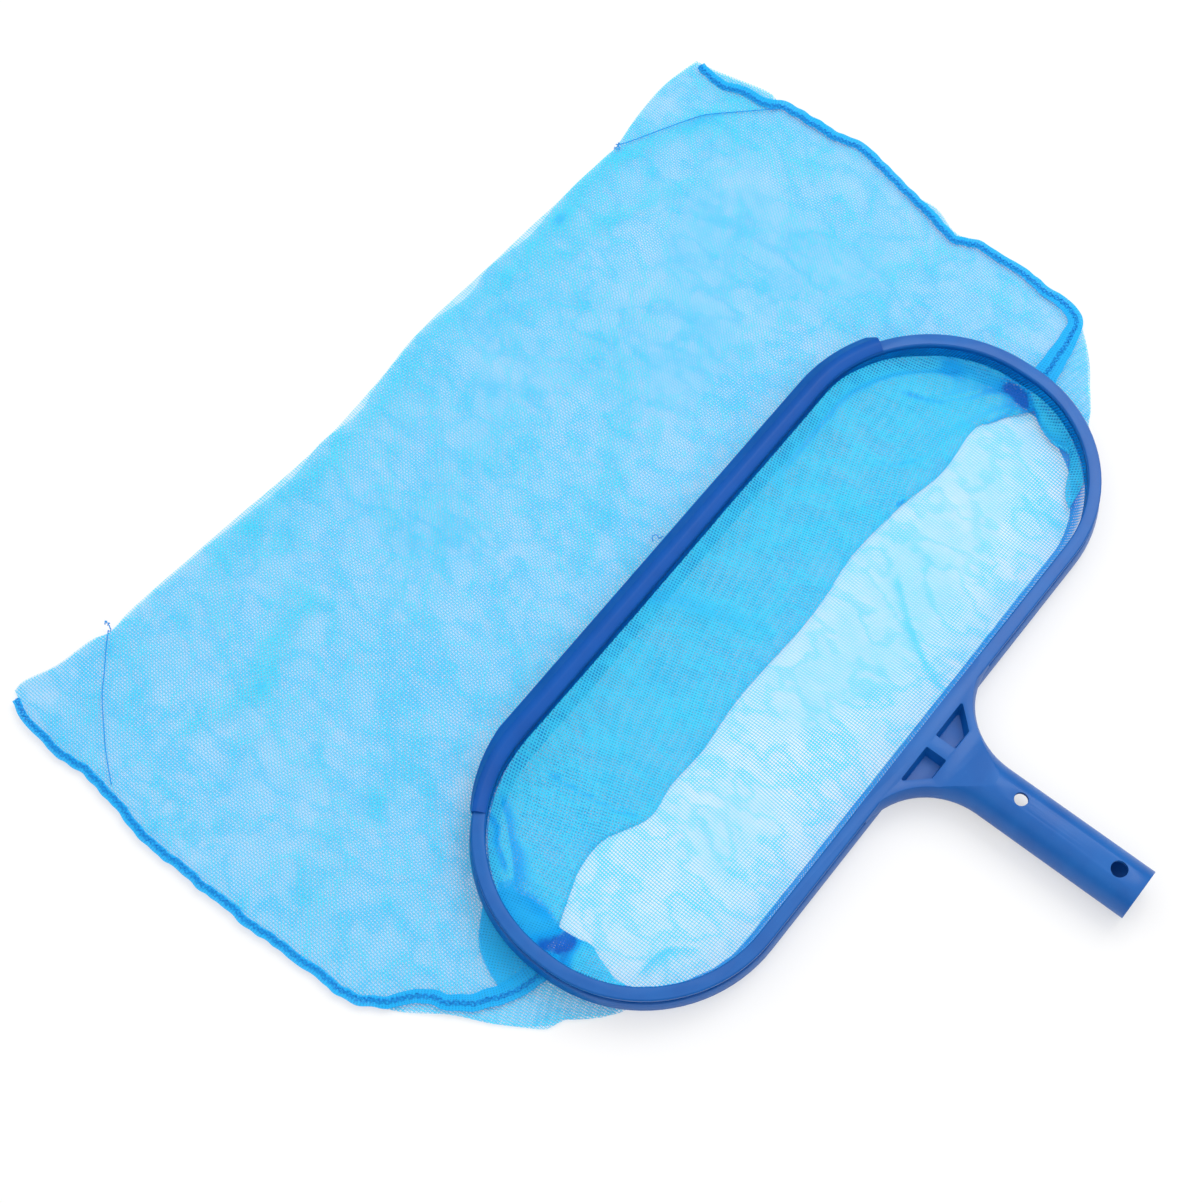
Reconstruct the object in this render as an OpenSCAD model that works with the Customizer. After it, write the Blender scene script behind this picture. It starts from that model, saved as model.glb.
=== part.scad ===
// Leaf skimmer net: a moulded racetrack hoop with its pole spigot, a ring that
// traps the hem of a deep mesh bag in it, and a scraping lip clipped to its far side.
// The origin is the centre of the spigot's mouth. +Y runs to the hoop, +Z is up, and the
// net lies on a floor at the spigot's lowest line, with its bag collapsed beyond the hoop.

/* [Hoop] */
// Inner half length of the hoop
hoop_half_len = 210.8; // [190:0.1:230]
// Inner half width of the hoop
hoop_half_wid = 79.3; // [79.1:0.1:84]
// Inner radius of the two corners on the handle's side
hoop_near_r = 74; // [60:1:78]
// Inner radius of the two corners on the lip's side
hoop_far_r = 79; // [66:1:79]
// Width of the hoop's top flange
flange_w = 7.2; // [6.6:0.1:8]
// Thickness of the top flange
flange_t = 2.3; // [1.8:0.1:3]
// Chamfer along the top flange's edges
flange_edge = 0.7; // [0.3:0.1:1.2]
// Thickness of the two webs below the flange
web_t = 1.5; // [1.2:0.1:1.7]
// Depth of the two webs from the flange's top face
web_depth = 10.4; // [9:0.1:12]
// Step from the flange's inner edge to the inner web
web_inset = 0.3; // [0.1:0.1:0.6]
// Width of the channel between the webs, which holds the hem
channel_w = 1.8; // [1.6:0.1:2]

/* [Retaining ring] */
// Thickness of the retaining ring's wall at its top
ring_wall_t = 2.0; // [1.4:0.1:2.4]
// Lean of the ring's outer face, which is widest at its foot
ring_lean = 1.4; // [0:0.1:2]
// Thickness of the ring's base
ring_base_t = 1.8; // [1.4:0.1:2.4]
// Height of the ring's outer wall above its base
ring_wall_h = 4.8; // [3:0.1:5.5]
// Gap between the webs' feet and the ring's base, where the net comes out
net_gap = 1.2; // [1:0.1:1.6]
// Running gap between the ring's wall and the outer web
ring_clear = 0.3; // [0.2:0.05:0.4]

/* [Spigot] */
// Outside diameter of the pole spigot
spigot_od = 29; // [27:0.1:31]
// Diameter of the spigot's bore
spigot_bore = 24.6; // [20:0.1:25.2]
// Depth of the bore from the mouth
bore_depth = 66; // [50:1:68]
// Thickness of the wall that closes the bore
bore_end_t = 2.2; // [1.5:0.1:3]
// From the spigot's mouth to the middle of the hoop
mouth_to_hoop = 217; // [205:1:240]
// Height of the flange's top face above the spigot's axis
flange_rise = 7.9; // [7:0.1:9]
// Diameter of the two clip button holes
button_hole_d = 9.0; // [6:0.1:10]
// From the spigot's mouth to the button holes
button_hole_y = 15; // [12:0.5:25]
// Diameter of the hole to hang the net by
hang_hole_d = 7.4; // [5:0.1:8]
// From the spigot's mouth to the hanging hole
hang_hole_y = 74.5; // [73:0.5:80]

/* [Yoke] */
// Radius of the two fillets between spigot and hoop, in plan
fillet_r = 41; // [34:0.5:44]
// Thickness of the yoke's skin over its open underside
skin_t = 2.4; // [1.8:0.1:3]
// Length of the ramp from the flange up to the spigot's top line
ramp_len = 22; // [18:0.5:26]
// From the hoop's inner edge to the foot of the ramp
ramp_start = 25.7; // [23:0.1:30]
// Depth of the two recessed pockets
pocket_depth = 8.6; // [5:0.1:9.5]
// From the hoop's inner edge to the pockets
pocket_land = 8.2; // [8:0.1:10]
// Size of the pockets along the handle
pocket_len = 12.5; // [8:0.5:13]
// Width of the rib between the pockets
pocket_rib = 8; // [6:0.5:12]
// Length of the pockets' long sides, along the hoop
pocket_long = 24; // [18:0.5:26]
// Length of the pockets' short sides, along the hoop
pocket_short = 12.5; // [9:0.5:14]
// Draft of the pockets' walls, from rim to floor
pocket_draft = 1.4; // [0.5:0.1:2]
// Radius of the pockets' corners
pocket_corner_r = 0.9; // [0.4:0.1:1.5]

/* [Lip strip] */
// Thickness of the strip's top leaf and hook
lip_t = 1.5; // [1.2:0.1:1.8]
// Width of the whole strip, from the hoop's inner edge
lip_w = 14.4; // [12:0.1:17]
// Drop of the scraping edge below the flange's top face
lip_drop = 5.2; // [3:0.1:6]
// Width of the chamfer along the strip's inner side
lip_bevel = 2.3; // [1:0.1:3]
// Angle at each end of the strip, round the hoop's corner
lip_end_angle = 58; // [45:1:75]
// Chamfer across the strip's outer corner at each end
lip_end_cut = 4.5; // [2:0.5:6]
// Fit between strip and flange
lip_clear = 0.15; // [0.1:0.05:0.25]

/* [Net] */
// Thickness of the net as it lies
net_t = 0.8; // [0.5:0.1:1]
// Gap between one layer of net and the next
net_layer_gap = 0.3; // [0.2:0.05:0.4]
// Thickness of the doubled hem
hem_t = 1.4; // [1:0.1:1.5]
// Width of the overlocked side seams
seam_w = 6; // [4:0.5:8]
// Width of the seams that box the bag's bottom corners
corner_seam_w = 2; // [1.5:0.1:3]
// Half width of the bag as it lies
bag_half_w = 288; // [280:1:300]
// From the hoop's middle to where the back panel folds over under the hoop
fold_y = 8; // [0:1:30]
// From the hoop's ends to the ends of that fold
fold_end = 30; // [25:1:60]
// How far the fold swings towards the handle as it passes under the hoop's ends
fold_swing = 18; // [10:1:24]
// From the hoop's far side to the ends of the front panel's raised rim
rim_end = 20; // [15:1:60]
// From the hoop's middle to the bottom fold, on the left
bottom_left_y = 312; // [300:1:330]
// From the hoop's middle to the bottom fold, on the right
bottom_right_y = 279; // [272:1:330]
// From the left corner to its corner seam, along the bottom fold
box_left_along = 57; // [40:1:80]
// From the left corner to its corner seam, up the side
box_left_up = 77; // [50:1:90]
// From the right corner to its corner seam, along the bottom fold
box_right_along = 77; // [40:1:85]
// From the right corner to its corner seam, up the side
box_right_up = 52; // [40:1:80]

/* [Hidden] */
$fn = 96;
eps = 0.01;

spigot_r = spigot_od / 2;
bore_r = spigot_bore / 2;
tube_len = bore_depth + bore_end_t;

// Centres of the hoop's corners.
near_x = hoop_half_len - hoop_near_r;
near_y = hoop_half_wid - hoop_near_r;
far_x = hoop_half_len - hoop_far_r;
far_y = hoop_half_wid - hoop_far_r;

// Section of the hoop, outwards from its inner edge and down from the flange's top face.
inner_web = web_inset + web_t;
outer_web = inner_web + channel_w;
outer_face = outer_web + web_t;
ring_top = -web_depth - net_gap;
ring_foot = ring_top - ring_base_t;
ring_wall = outer_face + ring_clear;
ring_rim = ring_wall + ring_wall_t;
ring_out = ring_rim + ring_lean;
ring_wall_top = ring_top + ring_wall_h;

// Heights of the net's layers, down from the flange's top face. The floor is the spigot's lowest line.
floor_z = -flange_rise - spigot_r;
layer_step = net_t + net_layer_gap;
back_z = floor_z + layer_step;
flap_z = back_z + layer_step;
hem_foot_z = flap_z + layer_step;

// The yoke, along the handle, from the hoop's middle.
side_y = -hoop_half_wid - ring_rim;
fillet_x = spigot_r + fillet_r;
fillet_y = side_y - fillet_r;
ramp_y = -hoop_half_wid - ramp_start;

// Edges of the bag as it lies, as shares of its half width and of its reach from the hoop's middle.
right_edge = scaled([[0.958, 0.01], [0.938, 0.315], [1, 0.566], [0.969, 0.842], [0.969, 1]],
    [bag_half_w, bottom_right_y]);
left_edge = scaled([[-0.944, 0.128], [-1, 0.202], [-1.007, 0.596], [-0.983, 0.801], [-0.948, 1]],
    [bag_half_w, bottom_left_y]);
bottom_edge = concat(scaled([[0.66, 1.004]], [bag_half_w, bottom_right_y]),
    scaled([[-0.21, 0.91], [-0.743, 0.952]], [bag_half_w, bottom_left_y]));

// Slack of the front panel beside the hoop's ends, as shares of the hoop's half length and half width.
slack_right = scaled([[0.972, -0.58], [1.115, -0.43], [1.219, -0.214], [1.276, -0.063]],
    [hoop_half_len, hoop_half_wid]);
slack_left = scaled([[-1.267, 0.353], [-1.167, -0.101], [-1.091, -0.328], [-0.972, -0.58]],
    [hoop_half_len, hoop_half_wid]);

function scaled(points, by) = [for (p = points) [p[0] * by[0], p[1] * by[1]]];
function shifted(points, dx) = [for (p = points) [p[0] + dx, p[1]]];
function reversed(points) = [for (i = [len(points) - 1:-1:0]) points[i]];

module at_hoop() {
    translate([0, mouth_to_hoop, flange_rise]) children();
}

module both_sides() {
    children();
    mirror([1, 0, 0]) children();
}

// The whole plan of the hoop, its inner edge moved outwards by out.
module hoop_plan(out) {
    square([2 * far_x, 2 * (hoop_half_wid + out)], center = true);
    translate([-hoop_half_len - out, -near_y]) square([2 * (hoop_half_len + out), near_y + far_y]);
    for (s = [-1, 1]) {
        translate([s * far_x, far_y]) circle(hoop_far_r + out);
        translate([s * near_x, -near_y]) circle(hoop_near_r + out);
    }
}

// Sweeps a section along the hoop's straights and corners: its x is outwards, its y is up.
module along_side(half) {
    translate([-half, hoop_half_wid, 0]) rotate([90, 0, 90]) linear_extrude(2 * half) children();
}

module along_far_corner(turn) {
    translate([far_x, far_y, 0]) mirror([1, -1, 0]) rotate_extrude(angle = turn)
        translate([hoop_far_r, 0]) children();
}

module along_near_corner() {
    translate([near_x, -near_y, 0]) rotate(-90) rotate_extrude(angle = 90)
        translate([hoop_near_r, 0]) children();
}

module along_end() {
    translate([hoop_half_len, far_y, 0]) rotate([90, 0, 0]) linear_extrude(near_y + far_y) children();
}

module along_hoop() {
    both_sides() {
        along_near_corner() children();
        along_end() children();
        along_far_corner(90) children();
    }
    along_side(far_x) children();
    mirror([0, 1, 0]) along_side(near_x) children();
}

// The frame's section: a chamfered flange over two webs.
module frame_section() {
    polygon([[0, -flange_edge], [flange_edge, 0], [flange_w - flange_edge, 0], [flange_w, -flange_edge],
        [flange_w, -flange_t], [outer_face, -flange_t], [outer_face, -web_depth], [outer_web, -web_depth],
        [outer_web, -flange_t], [inner_web, -flange_t], [inner_web, -web_depth], [web_inset, -web_depth],
        [web_inset, -flange_t], [0, -flange_t]]);
}

module ring_section() {
    polygon([[web_inset, ring_foot], [ring_out, ring_foot], [ring_rim, ring_wall_top],
        [ring_wall, ring_wall_top], [ring_wall, ring_top], [web_inset, ring_top]]);
}

// A bar of radius r: the spigot run on under the ramp, and its two branches round the fillets.
module branches(r) {
    translate([0, fillet_y, -flange_rise]) rotate([90, 0, 0])
        cylinder(h = mouth_to_hoop + fillet_y - tube_len, r = r);
    both_sides() translate([fillet_x, fillet_y, -flange_rise]) rotate(90) rotate_extrude(angle = 90)
        translate([fillet_x, 0]) circle(r);
}

// The web of the yoke between the branches' middle lines.
module yoke_web(height) {
    translate([0, 0, ring_foot]) linear_extrude(height) difference() {
        translate([-fillet_x, fillet_y]) square([2 * fillet_x, fillet_x]);
        for (sx = [-1, 1]) translate([sx * fillet_x, fillet_y]) circle(fillet_x);
    }
}

// Everything below the yoke's top face, which ramps up to the spigot's top line.
module under_ramp(drop) {
    rise = spigot_r - flange_rise;
    far = fillet_x + spigot_r;
    translate([-far, 0, 0]) rotate([90, 0, 90]) linear_extrude(2 * far)
        polygon([[-hoop_half_wid, ring_foot - eps], [-hoop_half_wid, -drop], [ramp_y, -drop],
            [ramp_y - ramp_len, rise - drop], [-mouth_to_hoop, rise - drop], [-mouth_to_hoop, ring_foot - eps]]);
}

// Corners of a pocket, drawn in from its sharp outline.
function pocket_corners(in) = let (x = pocket_rib / 2, y = -hoop_half_wid - pocket_land, low = y - pocket_len)
    [[x + in, y - in], [x + pocket_long - 2.1 * in, y - in], [x + pocket_short - 0.5 * in, low + in],
        [x + in, low + in]];

module pocket() {
    hull() {
        for (c = pocket_corners(pocket_corner_r)) translate([c[0], c[1], -eps])
            cylinder(h = 1, r = pocket_corner_r, $fn = 24);
        for (c = pocket_corners(pocket_corner_r + pocket_draft)) translate([c[0], c[1], -pocket_depth])
            cylinder(h = 1, r = pocket_corner_r, $fn = 24);
    }
}

// The room under the yoke through which the webs, the hem and the retaining ring run on.
module hoop_room() {
    roof = ring_wall_top + ring_clear;
    mirror([0, 1, 0]) along_side(fillet_x + 1) polygon([[-1, -flange_t], [outer_face, -flange_t], [outer_face, roof],
        [ring_rim + ring_clear, roof], [ring_out + ring_clear, ring_foot - 1], [-1, ring_foot - 1]]);
}

module yoke() {
    difference() {
        intersection() {
            union() {
                branches(spigot_r);
                yoke_web(spigot_r - flange_rise - ring_foot);
            }
            under_ramp(0);
        }
        intersection() {
            union() {
                branches(spigot_r - skin_t);
                yoke_web(spigot_r - flange_rise - ring_foot);
            }
            under_ramp(skin_t);
            translate([-fillet_x, -mouth_to_hoop, floor_z])
                cube([2 * fillet_x, mouth_to_hoop + ramp_y + skin_t / 2, 2 * spigot_r]);
        }
        hoop_room();
    }
}

module frame() {
    color("royalblue") difference() {
        union() {
            at_hoop() along_hoop() frame_section();
            at_hoop() yoke();
            rotate([-90, 0, 0]) cylinder(h = tube_len, r = spigot_r);
        }
        at_hoop() both_sides() pocket();
        translate([0, -eps, 0]) rotate([-90, 0, 0]) cylinder(h = bore_depth + eps, r = bore_r);
        translate([0, button_hole_y, -spigot_r - 1]) cylinder(h = spigot_od + 2, d = button_hole_d);
        translate([0, hang_hole_y, 0]) cylinder(h = spigot_r + 1, d = hang_hole_d);
    }
}

module retaining_ring() {
    color("mediumblue") at_hoop() along_hoop() ring_section();
}

// The strip's section: a leaf over the flange, a hook under its edge and a sloping wing.
module lip_section() {
    top = lip_clear + lip_t;
    back = flange_w + lip_clear;
    hook = -flange_t - lip_clear;
    polygon([[lip_clear, lip_clear], [lip_clear, lip_clear + 0.4], [lip_bevel + lip_clear, top],
        [back + 0.4, top], [lip_w, -lip_drop + 0.8], [lip_w, -lip_drop], [lip_w - 1.2, -lip_drop],
        [back + lip_t, -0.4], [back + lip_t, hook - lip_t], [outer_face + ring_clear, hook - lip_t],
        [outer_face + ring_clear, hook], [back, hook], [back, lip_clear]]);
}

module lip_strip() {
    turn = 90 - lip_end_angle;
    out = hoop_far_r + lip_w;
    c = lip_end_cut;
    color("navy") at_hoop() difference() {
        union() {
            along_side(far_x) lip_section();
            both_sides() along_far_corner(turn) lip_section();
        }
        both_sides() translate([far_x, far_y, -lip_w]) rotate(lip_end_angle) linear_extrude(2 * lip_w)
            polygon([[out - c - 1, -1], [out + 1, -1], [out + 1, c + 1]]);
    }
}

// The hem's section: doubled in the channel, pinched over the ring, then hanging.
module hem_section() {
    slot = (channel_w - hem_t) / 2;
    pinch = ring_top + (net_gap - net_t) / 2;
    polygon([[inner_web + slot, -flange_t - slot], [outer_web - slot, -flange_t - slot],
        [outer_web - slot, pinch], [0, pinch], [0, hem_foot_z], [-net_t, hem_foot_z],
        [-net_t, pinch + net_t], [inner_web + slot, pinch + net_t]]);
}

module mouth_hem() {
    color("deepskyblue") at_hoop() along_hoop() hem_section();
}

// The two panels are one cloth, folded along the bag's bottom; the front one lies on the floor.
module net_front_panel() {
    color("lightskyblue") at_hoop() {
        translate([0, 0, floor_z]) linear_extrude(net_t) {
            polygon(concat(slack_right, shifted(right_edge, -seam_w), bottom_edge,
                reversed(shifted(left_edge, seam_w)), slack_left));
            hoop_plan(0);
        }
        translate([0, 0, floor_z + net_t]) linear_extrude(hem_foot_z - floor_z - net_t) intersection() {
            difference() {
                hoop_plan(0);
                hoop_plan(-net_t);
            }
            translate([-hoop_half_len, -hoop_half_wid]) square([2 * hoop_half_len, 2 * hoop_half_wid - rim_end]);
        }
    }
}

module net_back_panel() {
    half = hoop_half_len - fold_end;
    neck = 0.972 * hoop_half_len;
    color("skyblue") at_hoop() {
        translate([0, 0, back_z]) linear_extrude(net_t)
            polygon(concat([[half, fold_y], [neck, fold_y - fold_swing]], shifted(right_edge, -seam_w),
                bottom_edge, reversed(shifted(left_edge, seam_w)),
                [[-neck - fold_end, fold_y - 3], [-neck, fold_y - fold_swing], [-half, fold_y]]));
        translate([0, 0, flap_z]) linear_extrude(net_t) intersection() {
            hoop_plan(-net_t);
            translate([-half, fold_y]) square([2 * half, hoop_half_wid]);
        }
        translate([-half, fold_y, back_z]) cube([2 * half, net_t, flap_z - back_z + net_t]);
    }
}

module side_seam(edge, inwards) {
    color("dodgerblue") at_hoop() translate([0, 0, floor_z]) linear_extrude(2 * layer_step)
        polygon(concat(edge, reversed(shifted(edge, inwards))));
}

module side_seam_left() {
    side_seam(left_edge, seam_w);
}

module side_seam_right() {
    side_seam(right_edge, -seam_w);
}

// A seam across the bag's corner, from the bottom fold to the side seam.
module corner_seam(from, to) {
    run = to - from;
    color("dodgerblue") at_hoop() translate([from[0], from[1], flap_z]) rotate(atan2(run[1], run[0]))
        translate([0, -corner_seam_w / 2, 0]) cube([norm(run), corner_seam_w, net_t]);
}

module corner_seam_left() {
    corner_seam([left_edge[4][0] + box_left_along, bottom_edge[2][1] - corner_seam_w],
        [left_edge[3][0] + seam_w, bottom_left_y - box_left_up]);
}

module corner_seam_right() {
    corner_seam([right_edge[4][0] - box_right_along, bottom_right_y - corner_seam_w],
        [right_edge[3][0] - seam_w - corner_seam_w, bottom_right_y - box_right_up]);
}

frame();
retaining_ring();
lip_strip();
mouth_hem();
net_front_panel();
net_back_panel();
side_seam_left();
side_seam_right();
corner_seam_left();
corner_seam_right();
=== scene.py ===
import bpy
import bmesh
import math
import numpy as np
from mathutils import Matrix, Vector


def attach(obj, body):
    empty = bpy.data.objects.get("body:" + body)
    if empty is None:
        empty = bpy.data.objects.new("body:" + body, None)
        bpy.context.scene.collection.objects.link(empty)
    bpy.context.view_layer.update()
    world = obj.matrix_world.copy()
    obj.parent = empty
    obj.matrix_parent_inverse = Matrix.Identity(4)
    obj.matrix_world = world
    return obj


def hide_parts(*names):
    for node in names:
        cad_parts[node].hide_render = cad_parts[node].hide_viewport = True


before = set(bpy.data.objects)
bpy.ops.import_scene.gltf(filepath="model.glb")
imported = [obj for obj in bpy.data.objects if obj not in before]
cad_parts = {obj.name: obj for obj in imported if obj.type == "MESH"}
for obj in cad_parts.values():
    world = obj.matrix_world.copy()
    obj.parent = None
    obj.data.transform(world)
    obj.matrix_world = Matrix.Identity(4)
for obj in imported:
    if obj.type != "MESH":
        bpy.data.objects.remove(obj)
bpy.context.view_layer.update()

# ---- Camera -------------------------------------------------------------------------------------
# A still camera a little over a metre above the net, on the left of its handle, looks down on it
# through a long lens. Its turn is given by the directions of its right, its top and its back.
MM = 0.001
camera = bpy.data.objects.new("camera", bpy.data.cameras.new("camera"))
bpy.context.scene.collection.objects.link(camera)
camera.data.lens = 69.43
camera.data.sensor_width = 36
camera.data.sensor_fit = "HORIZONTAL"
camera.data.clip_start = 0.05
camera.data.clip_end = 20
to_camera = Matrix(((0.62248, -0.78263, -0.00176), (0.71350, 0.56658, 0.41219), (-0.32160, -0.25784, 0.91109)))
camera.matrix_world = Matrix.Translation(Vector((-440.8, -5.7, 1131.4)) * MM) @ to_camera.transposed().to_4x4()
bpy.context.scene.camera = camera
bpy.context.scene.view_settings.view_transform = "Standard"

# ---- Floor, sky and lamp ------------------------------------------------------------------------
# A plain white floor lies just under the net. The sky is an even white, dimmer at its sides than
# overhead, and one long soft lamp hangs above the net's right side.
FLOOR_Z = -14.5 * MM
FLOOR_GAP = 0.02 * MM


class Amount:
    """A number that may change over a surface: a socket that takes part in sums."""

    def __init__(self, finish, socket):
        self.finish = finish
        self.socket = socket

    def maths(self, operation, *values):
        return self.finish.node("Math", {"operation": operation}, dict(enumerate(values)))

    def __add__(self, other):
        return self.maths("ADD", self, other)

    __radd__ = __add__

    def __sub__(self, other):
        return self.maths("SUBTRACT", self, other)

    def __rsub__(self, other):
        return self.maths("SUBTRACT", other, self)

    def __mul__(self, other):
        return self.maths("MULTIPLY", self, other)

    __rmul__ = __mul__

    def __abs__(self):
        return self.maths("ABSOLUTE", self)

    def least(self, other):
        return self.maths("MINIMUM", self, other)

    def fraction(self):
        return self.maths("FRACT", self)


class Finish:
    """The nodes of one material, or of the sky."""

    def __init__(self, owner):
        self.owner = owner
        owner.use_nodes = True
        self.tree = owner.node_tree
        self.tree.nodes.clear()

    def node(self, kind, settings=None, sockets=None, out=0):
        made = self.tree.nodes.new("ShaderNode" + kind)
        for key, value in (settings or {}).items():
            setattr(made, key, value)
        for key, value in (sockets or {}).items():
            if isinstance(value, Amount):
                self.tree.links.new(value.socket, made.inputs[key])
            elif isinstance(value, tuple) and made.inputs[key].type == "RGBA":
                made.inputs[key].default_value = (*value, 1)
            else:
                made.inputs[key].default_value = value
        return Amount(self, made.outputs[out])

    def step(self, value, low, high, start=0.0, end=1.0):
        return self.node("MapRange", {"interpolation_type": "SMOOTHSTEP"},
                         {"Value": value, "From Min": low, "From Max": high, "To Min": start, "To Max": end})

    def noise(self, place, scale, detail=2.0, roughness=0.5):
        return self.node("TexNoise", {}, {"Vector": place, "Scale": scale, "Detail": detail, "Roughness": roughness})

    def stretched_noise(self, place, stretch, detail=2.0, roughness=0.5):
        return self.noise(self.node("Mapping", sockets={"Vector": place, "Scale": stretch}), 1.0, detail, roughness)

    def blend(self, amount, first, second):
        return self.node("Mix", {"data_type": "RGBA"}, {0: amount, 6: first, 7: second}, out=2)

    def cover(self, shader, end="Material"):
        output = self.tree.nodes.new("ShaderNodeOutput" + end)
        self.tree.links.new(shader.socket, output.inputs["Surface"])
        return self.owner


def finished(name, shape, finish):
    """Makes a shape one object in its finish."""
    mesh = bpy.data.meshes.new(name)
    shape.to_mesh(mesh)
    shape.free()
    mesh.materials.append(finish)
    piece = bpy.data.objects.new(name, mesh)
    bpy.context.scene.collection.objects.link(piece)
    return piece


def white_floor():
    f = Finish(bpy.data.materials.new("white floor"))
    seen = f.node("LightPath")
    matt = f.node("BsdfDiffuse", sockets={"Color": (0.93, 0.93, 0.93)})
    glow = f.node("Emission", sockets={"Color": (1.0, 1.0, 1.0), "Strength": 1.0})
    return f.cover(f.node("MixShader", sockets={0: seen * 0.50, 1: matt, 2: glow}))


def white_sky():
    f = Finish(bpy.data.worlds.new("sky"))
    seen = f.node("LightPath")
    height = f.node("SeparateXYZ", sockets={"Vector": f.node("TexCoord")}, out=2)
    strength = f.node("Mix", {}, {0: seen, 2: f.step(height, 0.25, 0.80, start=0.35, end=1.20), 3: 1.0})
    return f.cover(f.node("Background", sockets={"Color": (1.0, 1.0, 1.0), "Strength": strength}), "World")


ground = bmesh.new()
bmesh.ops.create_grid(ground, x_segments=1, y_segments=1, size=4)
bmesh.ops.translate(ground, verts=ground.verts, vec=(0, 0.25, FLOOR_Z - FLOOR_GAP))
floor = finished("floor", ground, white_floor())
bpy.context.scene.world = white_sky()

lamp = bpy.data.objects.new("soft lamp", bpy.data.lights.new("soft lamp", "AREA"))
lamp.data.shape = "RECTANGLE"
lamp.data.size = 1.1
lamp.data.size_y = 0.8
lamp.data.energy = 9.2
lamp_turn = Matrix.Rotation(-0.02, 4, "X") @ Matrix.Rotation(0.5, 4, "Y")
lamp.matrix_world = Matrix.Translation((0.95, 0.22, 1.5)) @ lamp_turn
bpy.context.scene.collection.objects.link(lamp)

# ---- Hoop moulding and lower ring ---------------------------------------------------------------
# The hoop, its yoke and the spigot for the pole are one moulding in mid blue polypropylene. The ring
# below is moulded in the same plastic and pressed up under the hoop, where it pinches the net's hem.
# The skin has the faint haze and flow marks of the mould and a few small pale scuffs.
ARRIS = 0.25                            # how far its arrises are rounded, in mm
SHARP = 32                              # an arris turns by more than this, in degrees


def moulded_blue(name, colour, pale, deep, gloss, shine):
    f = Finish(bpy.data.materials.new(name))
    place = f.node("TexCoord", out=3)
    clouds = f.noise(place, 38, 3, 0.55)
    flow = f.stretched_noise(place, (14.0, 70.0, 40.0))
    grain = f.noise(place, 2600)
    tint = f.blend(f.step(clouds * 0.65 + flow * 0.35, 0.32, 0.68), deep, colour)
    scuffs = f.step(f.noise(place, 420), 0.66, 0.78)
    tint = f.blend(scuffs * 0.18, tint, pale)
    bump = f.node("Bump", sockets={"Strength": 0.12, "Distance": 0.0002, "Height": grain + clouds * 0.6})
    return f.cover(f.node("BsdfPrincipled", sockets={
        "Base Color": tint, "Roughness": gloss + clouds * 0.14 + grain * 0.05, "IOR": 1.49,
        "Specular IOR Level": shine, "Normal": bump}))


def smooth_skin(shape, sharp):
    """Shades a shape smooth up to its sharp arrises, in degrees."""
    for face in shape.faces:
        face.smooth = True
    for edge in shape.edges:
        edge.smooth = len(edge.link_faces) == 2 and edge.calc_face_angle(0) < math.radians(sharp)


hoop_blue = moulded_blue("moulded blue", colour=(0.004, 0.122, 0.450), pale=(0.04, 0.17, 0.50),
                         deep=(0.002, 0.098, 0.395), gloss=0.26, shine=0.34)
for node, title in (("frame", "hoop_moulding"), ("retaining_ring", "lower_ring")):
    moulding = bmesh.new()
    moulding.from_mesh(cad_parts[node].data)
    moulding.transform(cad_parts[node].matrix_world)
    bmesh.ops.remove_doubles(moulding, verts=moulding.verts, dist=0.002 * MM)
    bmesh.ops.dissolve_limit(moulding, angle_limit=math.radians(1.0), verts=moulding.verts, edges=moulding.edges)
    arrises = [e for e in moulding.edges
               if len(e.link_faces) == 2 and e.calc_face_angle(0) > math.radians(SHARP)]
    bmesh.ops.bevel(moulding, geom=arrises, offset=ARRIS * MM, offset_type="OFFSET", affect="EDGES", segments=2,
                    profile=0.5, material=-1, clamp_overlap=True)
    smooth_skin(moulding, SHARP)
    moulding_piece = finished(title, moulding, hoop_blue)
    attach(moulding_piece, "root")
    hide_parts(node)

# ---- Lip strip ----------------------------------------------------------------------------------
# A deep blue extrusion clipped over the far side of the hoop and bent round its corners. It is softer
# plastic than the moulding, with a satin skin, a crest along its top and its ends cut off aslant. Its
# overhang is pared down towards its left end.
FLANGE_TOP = 7.9                        # the height that it sits on, in mm
LIP_HALF = 131.8                        # half its straight run; its bends start at the ends of that
LIP_Y, LIP_R = 217.3, 79.0              # the bends' middles and inner radius
LIP_START = 58.0                        # each bend runs from here round to the straight run, in degrees
LIP_BEND = 90 - LIP_START
LIP_OUT = 14.4                          # its profile's reach outwards
LIP_LEG = 7.4                           # where its outer leg grips the flange's edge
LIP_SHARP = 40
PARED = 0.78                            # the share of its overhang that is gone at the left end
lip_blue = moulded_blue("lip blue", colour=(0.0, 0.088, 0.415), pale=(0.02, 0.11, 0.46), deep=(0.0, 0.072, 0.355),
                        gloss=0.28, shine=0.17)
lip_profile = [(0.2, 0.0), (0.3, 0.45), (0.8, 0.75), (2.0, 1.15), (3.4, 1.6), (4.4, 1.9), (4.9, 2.0), (5.5, 2.02),
               (6.6, 1.9), (7.8, 1.6), (8.6, 1.2), (9.2, 0.6), (11.4, -1.7), (13.4, -3.9), (14.1, -4.6),
               (14.35, -5.0), (14.2, -5.2), (13.3, -5.2), (9.0, -0.6), (9.0, -3.9), (7.4, -3.9), (7.35, 0.0)]
start_angle = math.radians(LIP_START)
lip = bmesh.new()
lip_face = lip.faces.new([lip.verts.new(((LIP_HALF + (LIP_R + out) * math.cos(start_angle)) * MM,
                                         (LIP_Y + (LIP_R + out) * math.sin(start_angle)) * MM,
                                         (FLANGE_TOP + up) * MM)) for out, up in lip_profile])
section = [lip_face, *lip_face.edges, *lip_face.verts]
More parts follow.
